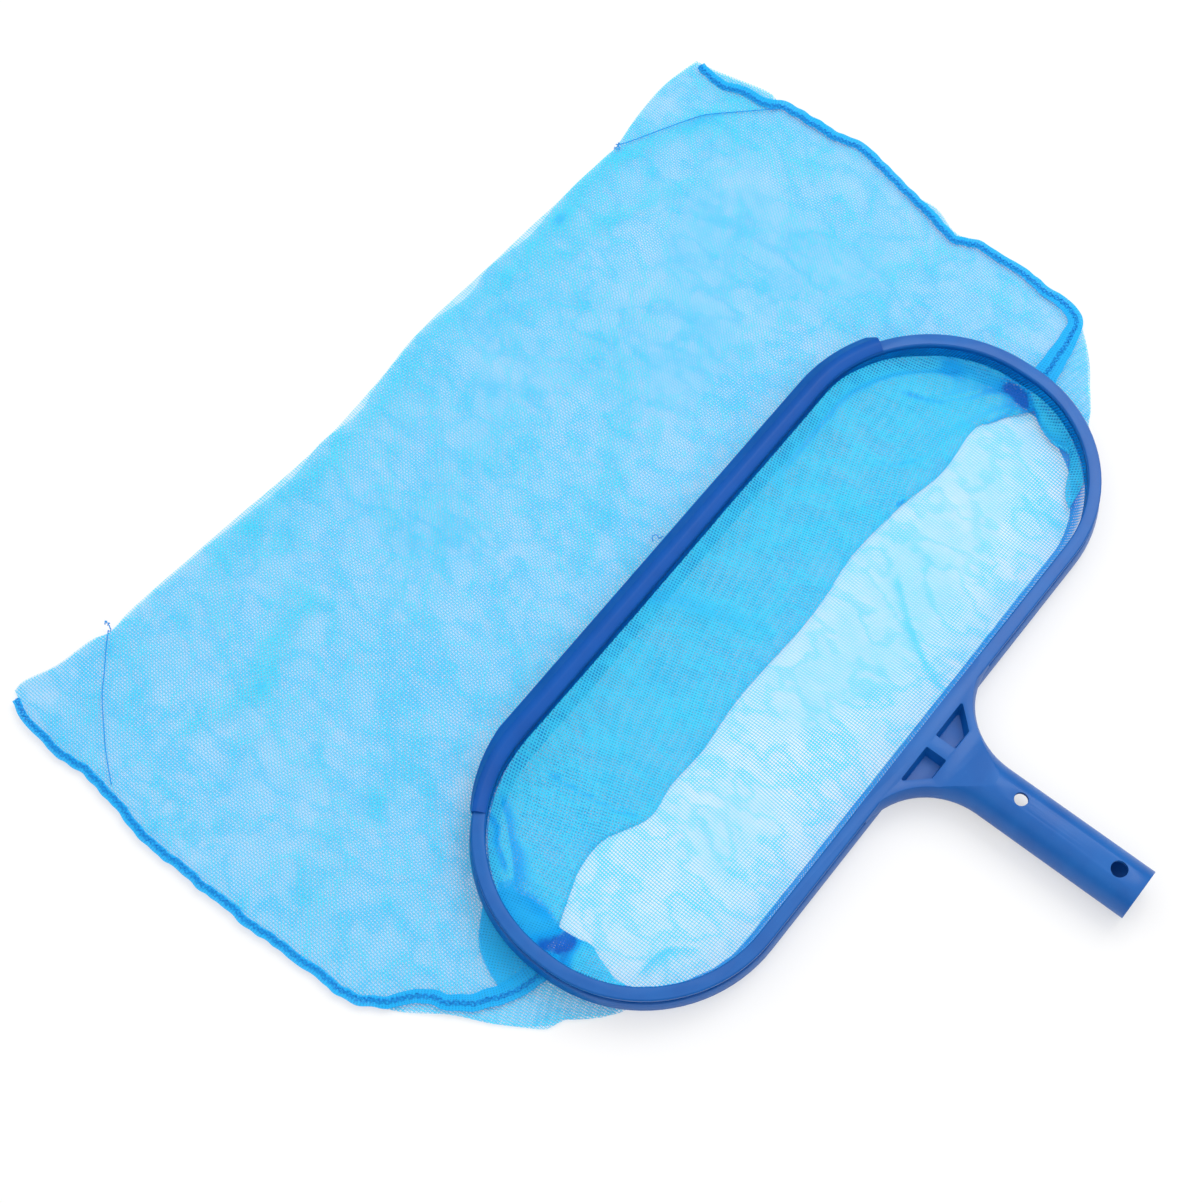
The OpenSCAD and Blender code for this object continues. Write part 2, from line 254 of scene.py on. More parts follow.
section = bmesh.ops.spin(lip, geom=section, cent=(LIP_HALF * MM, LIP_Y * MM, 0), axis=(0, 0, 1), dvec=(0, 0, 0),
                         angle=math.radians(LIP_BEND), steps=14, use_duplicate=False)["geom_last"]
inner_cap = [g for g in section if isinstance(g, bmesh.types.BMFace)]
section = bmesh.ops.extrude_face_region(lip, geom=inner_cap)["geom"]
bmesh.ops.delete(lip, geom=inner_cap, context="FACES_ONLY")
bmesh.ops.translate(lip, verts=[g for g in section if isinstance(g, bmesh.types.BMVert)],
                    vec=(-2 * LIP_HALF * MM, 0, 0))
section = [g for g in section if isinstance(g, bmesh.types.BMFace)]
section = [*section, *section[0].edges, *section[0].verts]
bmesh.ops.spin(lip, geom=section, cent=(-LIP_HALF * MM, LIP_Y * MM, 0), axis=(0, 0, 1), dvec=(0, 0, 0),
               angle=math.radians(LIP_BEND), steps=14, use_duplicate=False)
for side, chamfer in ((1, 4.5), (-1, 3.5)):
    radial = Vector((side * math.cos(start_angle), math.sin(start_angle), 0))
    away = Vector((side * math.sin(start_angle), -math.cos(start_angle), 0))
    cut = Vector((side * LIP_HALF * MM, LIP_Y * MM, 0)) + radial * (LIP_R + (LIP_OUT - chamfer)) * MM
    loose_edges = bmesh.ops.bisect_plane(lip, geom=[*lip.verts, *lip.edges, *lip.faces], dist=1e-7, plane_co=cut,
                                         plane_no=(radial + away).normalized(), clear_outer=True)["geom_cut"]
    bmesh.ops.contextual_create(lip, geom=[g for g in loose_edges if isinstance(g, bmesh.types.BMEdge)])
for corner in lip.verts:
    from_middle = math.degrees(math.atan2(corner.co.y - LIP_Y * MM, -corner.co.x - LIP_HALF * MM))
    outwards = Vector((corner.co.x + LIP_HALF * MM, corner.co.y - LIP_Y * MM, 0))
    spare = outwards.length - (LIP_R + LIP_LEG) * MM
    if corner.co.x < -LIP_HALF * MM and spare > 0:
        corner.co -= outwards.normalized() * spare * PARED * (90 - from_middle) / LIP_BEND
bmesh.ops.recalc_face_normals(lip, faces=lip.faces)
smooth_skin(lip, LIP_SHARP)
lip_piece = finished("lip_strip_clipped", lip, lip_blue)
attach(lip_piece, "root")
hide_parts("lip_strip")

# ---- Net ----------------------------------------------------------------------------------------
# One piece of sky blue polyester mesh, folded along the bag's bottom and sewn up its sides. It lies
# collapsed: the near panel on the floor, the far panel on it, and above both the flap, the part of the
# far panel that hangs from the hoop's far side and folds back under it.
HOOP_Y = 217 * MM                       # the hoop's middle, from which the lines below are given in mm
HALF_LEN, HALF_WID = 210.8, 79.3        # the hoop's inner edge
NEAR_R, FAR_R = 74.0, 79.0              # and the radii of its near and far corners
FLAT_HALF, FLAT_WID = 135, 72           # the cloth lies flatter here, inside the hoop
TIE = -0.9                              # where cloth meets the hem, outwards from the hoop's inner edge
PITCH = 1.5                             # between the mesh's threads
CROWDED = 0.42                          # the most that crowding adds to a thread's width, in pitches
COVER = 0.88                            # how much of what lies behind it a thread hides
SOFT = 0.09                             # a thread's soft edge, in pitches
COLUMNS, ROWS = 250, 146                # points across and down a panel
HUG = 1.6                               # sets a panel's rows closer near the hoop


def even(line, count):
    """The same line with evenly spaced points."""
    run = np.concatenate([[0], np.cumsum(np.linalg.norm(np.diff(line, axis=0), axis=1))])
    at = np.linspace(0, run[-1], count)
    return np.stack([np.interp(at, run, line[:, i]) for i in range(line.shape[1])], axis=1)


def smooth_line(points, count):
    """Evenly spaced points on a smooth curve through those given, in mm from the hoop's middle."""
    p = np.array(points, float)
    p = np.vstack([2 * p[0] - p[1], p, 2 * p[-1] - p[-2]])
    fine = []
    for i in range(1, len(p) - 2):
        t = np.linspace(0, 1, 24, endpoint=False)[:, None]
        a, b, c, d = p[i - 1:i + 3]
        fine.append(0.5 * (2 * b + (c - a) * t + (2 * a - 5 * b + 4 * c - d) * t ** 2
                           + (3 * b - a - 3 * c + d) * t ** 3))
    return even(np.vstack(fine + [p[-2:-1]]), count)


def hoop_line(out, start, end, count):
    """The hoop's inner edge moved outwards, from one compass angle to another, from +X anticlockwise."""
    near = (HALF_LEN - NEAR_R, HALF_WID - NEAR_R)
    far = (HALF_LEN - FAR_R, HALF_WID - FAR_R)
    line = []
    for centre, radius, first in (((near[0], -near[1]), NEAR_R, -90), (far, FAR_R, 0),
                                  ((-far[0], far[1]), FAR_R, 90), ((-near[0], -near[1]), NEAR_R, 180)):
        for a in np.radians(np.linspace(first, first + 90, 46)):
            line.append((centre[0] + (radius + out) * math.cos(a), centre[1] + (radius + out) * math.sin(a)))
    line.append(line[0])
    line = np.array(line)
    angle = np.degrees(np.unwrap(np.arctan2(line[:, 1] / HALF_WID, line[:, 0] / HALF_LEN)))
    line = np.vstack([line[:-1], line[:-1]])
    angle = np.concatenate([angle[:-1], angle[:-1] + 360])
    at = np.linspace(start, end, 2000)
    return even(np.stack([np.interp(at, angle, line[:, i]) for i in (0, 1)], axis=1), count)


def patch(bottom, top, left, right, ease=1.0):
    """Points of a surface between four edge lines; ease over 1 sets the rows closer near the bottom."""
    evenly = np.linspace(0, 1, len(left))
    rows = evenly ** ease
    left, right = (np.stack([np.interp(rows, evenly, line[:, i]) for i in (0, 1)], axis=1) for line in (left, right))
    u, v = np.meshgrid(np.linspace(0, 1, len(bottom)), rows)
    u, v = u[..., None], v[..., None]
    return ((1 - v) * bottom[None] + v * top[None] + (1 - u) * left[:, None] + u * right[:, None]
            - (1 - u) * (1 - v) * bottom[0] - u * (1 - v) * bottom[-1] - (1 - u) * v * top[0] - u * v * top[-1])


def waves(xy, seed, sizes):
    """Soft ripples: sums of a few sine waves of given lengths in mm, about 0 to 1."""
    pick = np.random.default_rng(seed)
    total = np.zeros(xy.shape[:-1])
    for size in sizes:
        for _ in range(3):
            a = pick.uniform(0, 2 * math.pi)
            k = 2 * math.pi / size * pick.uniform(0.75, 1.3)
            bend = 0.9 * np.sin(xy[..., 0] * k * 0.31 + pick.uniform(0, 6)) + 0.9 * np.sin(xy[..., 1] * k * 0.27)
            total += np.sin((xy[..., 0] * math.cos(a) + xy[..., 1] * math.sin(a)) * k + bend + pick.uniform(0, 6))
    return 0.5 + 0.5 * np.tanh(total / (1.5 * math.sqrt(len(sizes) * 3)))


def bed(xy):
    """Height of the lowest cloth above the floor, in mm: long low swells, flatter inside the hoop."""
    inside = 1 / (1 + np.exp((np.hypot(np.maximum(np.abs(xy[..., 0]) - FLAT_HALF, 0), xy[..., 1]) - FLAT_WID) / 5))
    swell = waves(xy, 3, (150, 80)) * 1.6 + waves(xy, 5, (34,)) * 0.5
    return 0.35 + swell * (1 - 0.6 * inside)


def beside(xy, line, width, other=None):
    """1 on a line, falling to 0 over a width to its left and another width to its right."""
    line = np.array(line, float)
    best = np.full(xy.shape[:-1], 1e9)
    left = np.zeros(xy.shape[:-1], bool)
    for a, b in zip(line[:-1], line[1:]):
        ab = b - a
        t = np.clip(((xy - a) @ ab) / (ab @ ab), 0, 1)
        off = xy - a - t[..., None] * ab
        gap = np.linalg.norm(off, axis=-1)
        left = np.where(gap < best, off @ np.array([-ab[1], ab[0]]) > 0, left)
        best = np.minimum(best, gap)
    return np.exp(-(best / np.where(left, width, other or width)) ** 2)


def streaks(xy, creases):
    """How much the threads crowd: each crease is a line, a width or one for each side, and a strength."""
    crowd = np.zeros(xy.shape[:-1])
    for line, width, strength in creases:
        crowd += strength * beside(xy, line, *np.atleast_1d(width))
    return crowd


def new_cloth():
    """An empty piece of mesh: its threads are counted in a UV map; their crowding and painted shade are an attribute.
    """
    cloth = bmesh.new()
    cloth.loops.layers.uv.new("threads")
    cloth.verts.layers.float.new("crowd_and_shade")
    return cloth


def lay(cloth, points, heights, crowd_and_shade, turn, seed, spread=None):
    """Adds a grid of points to a cloth, its threads turned a little; spread is the same grid laid out flat."""
    cloth_uv = cloth.loops.layers.uv["threads"]
    cloth_crowd_and_shade = cloth.verts.layers.float["crowd_and_shade"]
    rows, columns = points.shape[:2]
    spread = points if spread is None else spread
    pulled = spread + np.stack([waves(spread, seed, (170,)), waves(spread, seed + 1, (150,))], axis=-1) * 5
    c, s = math.cos(turn), math.sin(turn)
    threads = np.stack([pulled[..., 0] * c - pulled[..., 1] * s, pulled[..., 0] * s + pulled[..., 1] * c], axis=-1)
    threads = threads / PITCH
    corners = []
    for j in range(rows):
        for i in range(columns):
            x, y = points[j, i]
            corner = cloth.verts.new((x * MM, y * MM + HOOP_Y, FLOOR_Z + heights[j, i] * MM))
            corner[cloth_crowd_and_shade] = float(crowd_and_shade[j, i])
            corners.append(corner)
    for j in range(rows - 1):
        for i in range(columns - 1):
            k = j * columns + i
            four = (k, k + 1, k + columns + 1, k + columns)
            face = cloth.faces.new([corners[k] for k in four])
            face.smooth = True
            for loop, k in zip(face.loops, four):
                loop[cloth_uv].uv = threads[k // columns, k % columns]


# The near panel runs from the hem under the hoop's near side to the bottom fold.
left_side = [(-281, 56), (-285, 63), (-288, 90), (-290, 130), (-290, 186), (-289, 205), (-286, 228), (-282, 248),
             (-283, 261), (-283, 279), (-280, 294), (-272, 313)]
right_side = [(276, 3), (276, 29), (279, 56), (278, 71), (276, 87), (283, 105), (282, 129), (290, 158), (288, 181),
              (291, 196), (285, 218), (288, 233), (281, 266), (279, 279)]
near_fold = [(-272, 313), (-265, 313), (-248, 306), (-225, 301), (-214, 297), (-191, 297), (-120, 290), (-59, 284),
             (-9, 285), (33, 288), (110, 284), (187, 280), (200, 279), (227, 283), (255, 284), (279, 279)]
near_left_end = [(-281, 49), (-274, 36), (-262, 19), (-253, 1), (-245, -12), (-238, -23), (-234, -25), (-226, -29),
                 (-219, -36), (-212, -44), (-208, -47)]
near_right_end = [(220, -44), (228, -40), (236, -33), (249, -24), (261, -14), (268, -7), (274, -1), (276, 3)]
near_creases = [
    ([(73, -18), (57, -36), (41, -60), (36, -75)], (1.1, 3.0), 0.30), ([(131, -6), (121, -26), (110, -39)], 6, -0.02),
    ([(72, -39), (76, -53)], 3, 0.05), ([(-106, -42), (-76, -63)], 7, 0.03), ([(-145, -67), (-152, -76)], 1.5, 0.10),
    ([(-182, -42), (-174, -43), (-166, -46), (-160, -54)], (0.9, 4), 0.36), ([(-172, -40), (-160, -52)], 5, -0.05),
    ([(158, -43), (155, -55), (157, -68)], (1.0, 3), 0.2), ([(150, -40), (160, -52)], 4, 0.04),
    ([(170, -30), (163, -45)], 5, 0.05)]
near_bottom = np.vstack([smooth_line(near_left_end, 60), hoop_line(out=-3.5, start=219, end=321, count=400),
                         smooth_line(near_right_end, 60)])
near_panel = patch(even(near_bottom, COLUMNS), smooth_line(near_fold, COLUMNS),
                   smooth_line([(-281, 49)] + left_side, ROWS), smooth_line(right_side, ROWS), HUG)
# The small extra crowding over the middle of the near panel, inside the hoop, is painted shade from the hoop.
near_crowd_and_shade = streaks(near_panel, near_creases) + 0.03 * beside(near_panel, [(-150, -40), (150, -40)], 70)
net_cloth = new_cloth()
lay(net_cloth, near_panel, bed(near_panel), near_crowd_and_shade, turn=0.02, seed=11)

# The far panel lies on it, from the edge where it folds back into the flap to the bottom fold.
far_edge_line = [(-281, 56), (-276, 47), (-268, 41), (-262, 32), (-252, 15), (-244, 8), (-236, 2), (-229, 0),
                 (-219, -4), (-205, -2), (-192, 5), (-174, 12), (-161, 16), (-142, 16), (-118, 5), (-97, 7), (-70, 6),
                 (-34, 9), (15, 7), (42, 8), (70, 11), (109, 8), (142, 2), (172, 4), (181, 2), (184, -1), (194, -7),
                 (203, -15), (218, -12), (232, -8), (255, -6), (270, -3), (276, 3)]
far_fold = [(-272, 312), (-265, 312), (-248, 305), (-225, 300), (-214, 295), (-191, 294), (-150, 290), (-120, 286),
            (-84, 281), (-59, 283), (-30, 279), (-9, 283), (33, 286), (66, 281), (90, 284), (120, 279), (150, 281),
            (187, 279), (200, 278), (227, 282), (255, 283), (279, 279)]
far_creases = [
    ([(-138, 226), (-164, 223), (-189, 212)], 7, 0.13), ([(-189, 212), (-210, 217), (-228, 227)], 6, 0.11),
    ([(-143, 280), (-170, 275), (-186, 273)], 8, 0.07), ([(-223, 205), (-219, 194), (-222, 185)], 4, 0.05),
    ([(-159, 128), (-180, 121), (-197, 119)], 8, 0.06), ([(-197, 119), (-218, 116), (-258, 114)], 9, 0.035),
    ([(77, 178), (54, 158), (24, 142)], 6, 0.05), ([(24, 142), (-6, 133), (-32, 128)], 6, 0.06),
    ([(265, 240), (245, 252), (220, 262), (197, 272), (171, 276), (140, 273)], 6, 0.17),
    ([(140, 273), (84, 274), (38, 280), (0, 277), (-20, 274), (-62, 273), (-86, 276), (-128, 282)], 5, 0.12),
    ([(150, 262), (84, 262), (38, 266), (-20, 262), (-86, 264), (-140, 270)], 14, 0.05),
    ([(215, 222), (195, 233), (179, 243), (143, 254)], 6, 0.08),
    ([(241, 251), (246, 225), (254, 196), (267, 176)], 9, 0.09),
    ([(252, 245), (262, 220), (268, 200)], 7, 0.06), ([(266, 84), (243, 91), (218, 93), (201, 99)], 8, 0.06),
    ([(190, 117), (177, 108), (179, 95)], 4, 0.05), ([(267, 266), (271, 244), (273, 230)], 5, 0.08),
    ([(-262, 306), (-245, 298)], 14, -0.12), ([(-225, 292), (-210, 288)], 10, 0.03), ([(262, 10), (245, 3)], 12, -0.08),
    ([(256, 278), (242, 274)], 9, -0.05), ([(262, 190), (275, 120), (262, 60)], 16, -0.02),
    ([(-36, 88), (-17, 66), (-6, 43), (3, 23)], 6, 0.08)]
far_panel = patch(smooth_line(far_edge_line, COLUMNS), smooth_line(far_fold, COLUMNS), smooth_line(left_side, ROWS),
                  smooth_line(right_side, ROWS), HUG)
far_swell = bed(far_panel) + 0.7 + waves(far_panel, 21, (120, 60)) * 1.6
far_edge = np.exp(-np.linalg.norm(far_panel - far_panel[:1], axis=-1) / 1.5)
far_rise = far_swell * (1 - far_edge) + (bed(far_panel) + 0.15) * far_edge
far_crowd_and_shade = streaks(far_panel, far_creases) * 1.9 - 0.045
lay(net_cloth, far_panel, far_rise, far_crowd_and_shade, turn=0.74, seed=13)

# The flap climbs from that edge to the hem under the hoop's far side, which it is tied to.
FLAP_ROWS = 68
SET_BACK = 1.8                          # how far it stays inside the far hem, in mm
flap_left_end = [(-196, -41), (-197, -35), (-195, -29), (-193, -22), (-190, -14), (-192, -5), (-193, 5)]
flap_edge = [(-193, 5), (-174, 12), (-161, 16), (-142, 16), (-118, 5), (-97, 7), (-70, 6), (-34, 9), (15, 7), (42, 8),
             (70, 11), (109, 8), (142, 2), (172, 4), (181, 2), (184, -1), (194, -7), (203, -15)]
flap_right_end = [(203, -15), (205, -17), (201, -21), (197, -28), (194, -37), (194, -45), (192, -49), (185, -53),
                  (176, -57), (170, -61), (166, -66)]
flap_in = np.vstack([smooth_line(flap_left_end, 30)[:-1], smooth_line(flap_edge, 160)[:-1],
                     smooth_line(flap_right_end, 40)])
flap_out = np.vstack([hoop_line(TIE, 209, 180, 30)[:-1], hoop_line(TIE, 180, 0, 160)[:-1],
                      hoop_line(TIE, 0, -44, 40)])
tied = (np.clip((190 - flap_out[:, :1]) / 45, 0, 1) * np.clip((flap_out[:, :1] + 170) / 40, 0, 1)
        * (flap_out[:, 1:] > 0))
flap_span = flap_out - flap_in
flap_out = flap_out - flap_span / np.linalg.norm(flap_span, axis=1)[:, None] * SET_BACK * tied
across = np.linspace(0, 1, FLAP_ROWS)[:, None, None]
flap = (1 - across) * flap_in[None] + across * flap_out[None]
from_hoop = np.linalg.norm(flap - flap_out[None], axis=-1)
from_edge = np.linalg.norm(flap - flap_in[None], axis=-1)
tied = tied[None, :, 0]
flap_swell = (1.25 + waves(flap, 31, (90, 40)) * 1.8) * (1 - np.exp(-from_edge / 1.8))
flap_rise = bed(flap) + 0.35 + flap_swell + (8 + 10 * tied) * np.exp(-from_hoop / (12 + 12 * tied))
flap_creases = [
    ([(-36, 88), (-17, 66), (-6, 43), (3, 23)], (9, 4), 0.12),
    ([(128, 65), (121, 41), (126, 27), (139, 18)], (0.8, 3), 0.10),
    ([(164, 54), (167, 48), (173, 35), (179, 19), (190, 14), (200, 7), (208, -2)], (2.0, 0.8), 0.11),
    ([(125, 32), (129, 25), (137, 18), (148, 13)], (0.8, 3), 0.12), ([(109, 10), (114, 8)], 0.9, 0.5),
    ([(-132, 57), (-129, 39), (-126, 23), (-121, 10)], (0.8, 3), 0.22),
    ([(189, 67), (198, 50), (199, 40), (194, 28)], 5, 0.12),
    ([(-162, 67), (-166, 60), (-172, 54), (-178, 46), (-188, 37)], (4, 0.9), 0.30),
    ([(-170, 68), (-172, 61), (-179, 56), (-186, 45)], (0.9, 3), 0.30), ([(-176, 44), (-186, 30), (-190, 15)], 6, 0.16),
    ([(168, 46), (177, 29), (189, 17), (200, 10)], (0.8, 1.8), 0.17),
    ([(168, 46), (170, 36), (172, 28), (173, 22)], (1.8, 0.8), 0.13),
    ([(206, -4), (196, 16), (182, 28)], (1.2, 4), 0.16), ([(205, -7), (188, 3), (170, 10)], (1.2, 5), 0.17),
    ([(205, -9), (194, -6), (182, -3)], (1.0, 4), 0.24), ([(206, -2), (203, 20), (196, 36)], 6, 0.20),
    ([(205, -9), (203, -13), (201, -18)], 3, 0.40), ([(199, -20), (196, -33), (196, -42)], 4, 0.2)]
# The puckers crowd the threads, and their navy is painted shade of the crumpled cloth.
puckers = [([(-207, 3), (-201, 0), (-196, -5)], 5, 0.75), ([(-194, -3), (-203, -7), (-208, -10)], 4.5, 0.7),
           ([(207, 3), (206, -6), (204, -10)], 3.2, 0.8)]
left_lobe = [(-188, 39), (-190, 33), (-189, 26), (-189, 18), (-190, 10), (-192, 1), (-196, -7), (-215, -3),
             (-215, 45), (-200, 43)]


def within(xy, outline):
    """1 inside an outline, 0 outside it."""
    inside = np.zeros(xy.shape[:-1], bool)
    for (x0, y0), (x1, y1) in zip(outline, outline[1:] + outline[:1]):
        crosses = (y0 > xy[..., 1]) != (y1 > xy[..., 1])
        inside ^= crosses & (xy[..., 0] < (x1 - x0) * (xy[..., 1] - y0) / ((y1 - y0) or 1) + x0)
    return inside * 1.0


# A narrow band a little in from the hoop's far side is painted shadow: the shade in the gap under the hanging hem.
gap_shadow = np.exp(-((from_hoop - 8.5) / 2.0) ** 2) * np.clip((flap[..., 0] - 60) / 40, 0, 1) * (flap[..., 1] > 30)
# The crowding that grows towards the hoop is partly the steeper, piled cloth there and partly painted shade from the
# hoop's wall.
flap_crowd_and_shade = (streaks(flap, flap_creases) * 1.4 + streaks(flap, puckers) + 0.16
              + 0.12 * np.exp(-(from_edge / 1.6) ** 2) + 0.06 * np.exp(-from_hoop / 16)
              + 0.08 * np.clip(from_edge / 75, 0, 1) + 0.26 * gap_shadow + 0.30 * within(flap, left_lobe))
lay(net_cloth, flap, flap_rise, flap_crowd_and_shade, turn=-0.33, seed=15)


def to_hoop(xy):
    """1 at the hoop's inner wall, fading over a few centimetres inside it, 0 outside it."""
    rim = hoop_line(TIE, 0, 360, 240)
    gap = np.min(np.linalg.norm(xy[..., None, :] - rim, axis=-1), axis=-1)
    corner = np.maximum(np.abs(xy) - (HALF_LEN - FAR_R, HALF_WID - FAR_R), 0)
    return np.exp(-gap / 14) * (np.linalg.norm(corner, axis=-1) < FAR_R)


# Slack cloth fills both ends, between the panels, the flap and the hoop.
SLACK_LIFT = 0.9                        # above the lowest cloth, in mm
right_slack = patch(smooth_line([(203, -15), (218, -12), (232, -8), (255, -6), (270, -3), (276, 3)], 40),
                    smooth_line([(166, -66), (185, -64), (200, -55), (220, -44), (232, -37)], 40),
                    smooth_line(flap_right_end, 30),
                    smooth_line([(276, 3), (268, -7), (261, -14), (249, -24), (232, -37)], 30))
right_creases = [([(212, -5), (205, -25), (203, -45), (190, -60)], 5, 0.3),
                 ([(206, -6), (204, -12), (203, -16)], 3.5, 0.9),
                 ([(203, -16), (197, -30), (195, -43), (186, -53)], 1.4, 0.35)]
left_slack = patch(smooth_line([(-193, 5), (-205, -2), (-219, -4), (-236, 2), (-252, 15), (-268, 41), (-281, 56)], 40),
                   smooth_line([(-196, -41), (-204, -46), (-215, -42), (-226, -29), (-234, -25)], 40),
                   smooth_line(flap_left_end[::-1], 30),
                   smooth_line([(-281, 56), (-281, 49), (-262, 19), (-253, 1), (-245, -12), (-234, -25)], 30))
left_creases = [([(-207, -3), (-200, -20), (-200, -35)], 8, 0.10), ([(-209, 2), (-201, -5), (-195, -9)], 7, 1.1),
                ([(-212, -44), (-226, -29), (-245, -12)], 3, 0.08)]
for slack, creases, pull, turn, seed in ((right_slack, right_creases, 5.0, 0.3, 19),
                                         (left_slack, left_creases, 3.0, -0.3, 23)):
    lay(net_cloth, slack, bed(slack) + SLACK_LIFT + pull * to_hoop(slack), streaks(slack, creases), turn, seed)

# Two pleats show as a dense double layer past the hoop's left end.
for turn, lift, outer, inner in (
        (0.5, 1.5, [(-207, 43), (-214, 39), (-223, 33), (-229, 26), (-233, 18), (-237, 6)],
         [(-190, 38), (-192, 34), (-190, 26), (-190, 18), (-191, 11), (-193, 2)]),
        (-0.5, 1.9, [(-207, 43), (-213, 39), (-222, 33), (-228, 26), (-232, 18), (-236, 6)],
         [(-191, 38), (-193, 34), (-191, 26), (-191, 18), (-192, 11), (-194, 2)])):
    span = np.linspace(0, 1, 20)[:, None, None]
    pleat = (1 - span) * smooth_line(outer, 30)[None] + span * smooth_line(inner, 30)[None]
    lay(net_cloth, pleat, bed(pleat) + lift, np.full(pleat.shape[:2], 0.50), turn, seed=27)


def net_finish(name, yarn, deep, shade, thick, fuzz):
    """A weave. Its threads widen as they crowd, and there its colour goes from yarn to deep and shade: painted shade
    for creases, the hoop's wall and puckers. Thick is a thread's width over the pitch, and fuzz is how much of a
    hole its fibres cover."""
    f = Finish(bpy.data.materials.new(name))
    uv = f.node("UVMap", {"uv_map": "threads"})
    crowd_and_shade = f.node("Attribute", {"attribute_name": "crowd_and_shade"}, out=2)
    cloud = f.stretched_noise(uv, (0.026, 0.018, 1.0), 5, 0.62)
    blotch = f.stretched_noise(uv, (0.13, 0.09, 1.0), 3, 0.6)
    crumple = f.stretched_noise(uv, (0.060, 0.038, 1.0), 3, 0.55)
    wrinkle = f.step(abs(crumple - 0.5), 0.0, 0.055, 1.0, 0.0)
    width = thick + (cloud - 0.5) * 0.40 + (blotch - 0.5) * 0.34 + wrinkle * 0.14 + crowd_and_shade.least(CROWDED)
    opening = 1.0
    for axis, stretch, more in ((0, (0.9, 0.02, 1.0), 0.07), (1, (0.02, 0.9, 1.0), -0.07)):
        count = f.node("SeparateXYZ", sockets={"Vector": uv}, out=axis)
        uneven = f.stretched_noise(uv, stretch, 1)
        half = (width + more + (uneven - 0.5) * 0.14) * 0.5
        opening = opening * f.step(abs(count.fraction() - 0.5), half - SOFT, half + SOFT)
    covered = COVER - opening * (COVER - fuzz)
    # Painted shade: where the threads crowd the colour turns deep, then shade in puckers and the deepest creases.
    tint = f.blend(f.step(crowd_and_shade, 0.24, 0.70), yarn, deep)
    tint = f.blend(f.step(crowd_and_shade + (blotch - 0.5) * 0.7, 0.75, 1.25), tint, shade)
    front = f.node("BsdfPrincipled", sockets={"Base Color": tint, "Roughness": 0.60, "IOR": 1.45,
                                              "Specular IOR Level": 0.2})
    back = f.node("BsdfTranslucent", sockets={"Color": yarn})
    thread = f.node("MixShader", sockets={0: 0.15, 1: front, 2: back})
    hole = f.node("BsdfTransparent", sockets={"Color": (0.88, 0.92, 0.985)})
    return f.cover(f.node("MixShader", sockets={0: covered, 1: hole, 2: thread}))


# Its deep and shade colours are painted shade for crowded creases, the hoop's wall and puckers.
sky_mesh = net_finish("sky blue mesh", yarn=(0.05, 0.70, 1.0), deep=(0.0, 0.45, 0.97), shade=(0.0, 0.13, 0.60),
                      thick=0.17, fuzz=0.11)
net = finished("net_bag", net_cloth, sky_mesh)
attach(net, "root")
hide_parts("net_front_panel", "net_back_panel")

# ---- Mouth hem ----------------------------------------------------------------------------------
# The net's mouth is hemmed, and the hem's mesh is coloured a deeper blue than the net as painted shade, for the hem
# in the flange's shadow over the hoop's dark wall. The hem is held in the hoop's channel by the ring and hangs down the
# hoop's inner wall to the panels, with its lower edge turned up double.
HEM_COLUMNS = 420
HEM_STEP = 2.2                          # between them round the hoop, in mm
# Each row: outwards from the hoop's inner edge, height above the floor, and how far down the cloth.
hem_rows = [(-0.3, 19.2, 0), (-0.5, 14.0, 5), (-0.9, 9.0, 10), (-1.6, 5.6, 13.5), (-2.8, 3.6, 16), (-4.4, 2.2, 18),
            (-5.2, 1.0, 19.5)]
round_hoop = np.arange(HEM_COLUMNS) * HEM_STEP
wall = []
for out, height, down in hem_rows:
    ring = hoop_line(out, 0, 360, HEM_COLUMNS)
    sway = waves(ring, 51, (14, 40)) * (hem_rows[0][1] - height) * 0.06
    wall.append(np.column_stack([ring * (1 - sway[:, None] / 200), np.full(HEM_COLUMNS, height), round_hoop,
                                 np.full(HEM_COLUMNS, down)]))
wall = np.array(wall)
doubled = np.clip((11 - wall[..., 2]) / 6, 0, 1) * 0.42
hem_cloth = new_cloth()
lay(hem_cloth, wall[..., :2], wall[..., 2], doubled, turn=0.4, seed=17, spread=wall[..., 3:])
# Painted shade: the hem's deeper blue yarn stands for the shade under the flange.
shaded_hem_mesh = net_finish("hem mesh in painted shade", yarn=(0.0, 0.40, 0.97), deep=(0.0, 0.20, 0.70), shade=(0.0, 0.10, 0.52),
                      thick=0.21, fuzz=0.1)
hem = finished("hem", hem_cloth, shaded_hem_mesh)
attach(hem, "root")
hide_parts("mouth_hem")

# ---- Side seams ---------------------------------------------------------------------------------
# The two panels' edges are overlocked together: a doubled edge of mesh with a zigzag of deep blue
# thread and two looped chains sewn along it by machine. Past the hoop's ends the seams turn in under
# the ring.
SEAM_LIFT = 2.2                         # above the lowest cloth, in mm
LAYER_GAP = 0.35                        # between the band's two layers
CROWN = 0.5                             # how much the band rises along its middle
WANDER = 1.6                            # how far the seam strays from side to side
BAND_ROWS, BAND_STEP = 7, 1.5
BAND_CROWD_AND_SHADE = 0.54
STITCH = 1.2                            # a stitch's length


def thread_finish(name, deep, pale):
    f = Finish(bpy.data.materials.new(name))
    fuzz = f.noise(f.node("TexCoord", out=3), 900)
    tint = f.blend(f.step(fuzz, 0.35, 0.7), deep, pale)
    bump = f.node("Bump", sockets={"Strength": 0.4, "Distance": 0.0002, "Height": fuzz})
    return f.cover(f.node("BsdfPrincipled", sockets={
        "Base Color": tint, "Roughness": 0.6 + fuzz * 0.2, "Normal": bump}))


deep_thread = thread_finish("deep blue thread", deep=(0.0, 0.24, 0.76), pale=(0.0, 0.40, 0.92))


